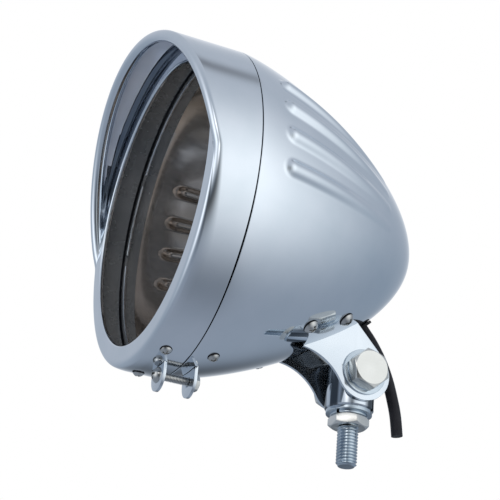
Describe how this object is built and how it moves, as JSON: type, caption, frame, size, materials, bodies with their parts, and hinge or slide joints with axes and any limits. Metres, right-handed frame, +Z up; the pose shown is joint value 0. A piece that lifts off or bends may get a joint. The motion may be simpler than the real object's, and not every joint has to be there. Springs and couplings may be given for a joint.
{
  "type": "motorcycle headlight shell",
  "caption": "Chromed bullet headlight shell with a visor ring, pressed ribs, clamp lugs and a tilting stud bracket.",
  "frame": {"origin": "on the axis of the mounting stud, on the under face of its nut", "axes": "-Z down the stud, the way the lamp's holder sits on it; -Y the way the lamp shines; +Z up"},
  "size_m": [0.159, 0.1574, 0.1869],
  "materials": {
    "chromed_sheet": "mirror",
    "chromed_block": "mirror",
    "stainless": "satin",
    "zinc_thread": "bright zinc",
    "rubber": "matt",
    "cable_jacket": "satin"
  },
  "bodies": {
    "mount": {"knuckle": "chromed_block", "stud": "zinc_thread", "stud_washer": "stainless", "stud_lock_washer": "stainless", "stud_nut": "stainless"},
    "lamp": {"shell": "chromed_sheet", "trim_ring": "chromed_sheet", "front_lug": "chromed_sheet", "rear_lug": "chromed_sheet", "front_lug_screws": "stainless", "rear_lug_screws": "stainless", "front_lug_nuts": "stainless", "rear_lug_nuts": "stainless", "clamp_screw": "stainless", "clamp_nut": "stainless", "tilt_bracket": "chromed_sheet", "bracket_screws": "stainless", "bracket_nuts": "stainless", "pivot_bolt": "stainless", "pivot_washers": "stainless", "pivot_lock_washer": "stainless", "pivot_nut": "stainless", "cable_grommet": "rubber", "cable": "cable_jacket"}
  },
  "joints": [
    {"name": "tilt", "type": "hinge", "parent": "mount", "child": "lamp", "pos_m": [0, 0, 0.0238], "axis": [1, 0, 0], "range_deg": [-20, 25]}
  ]
}
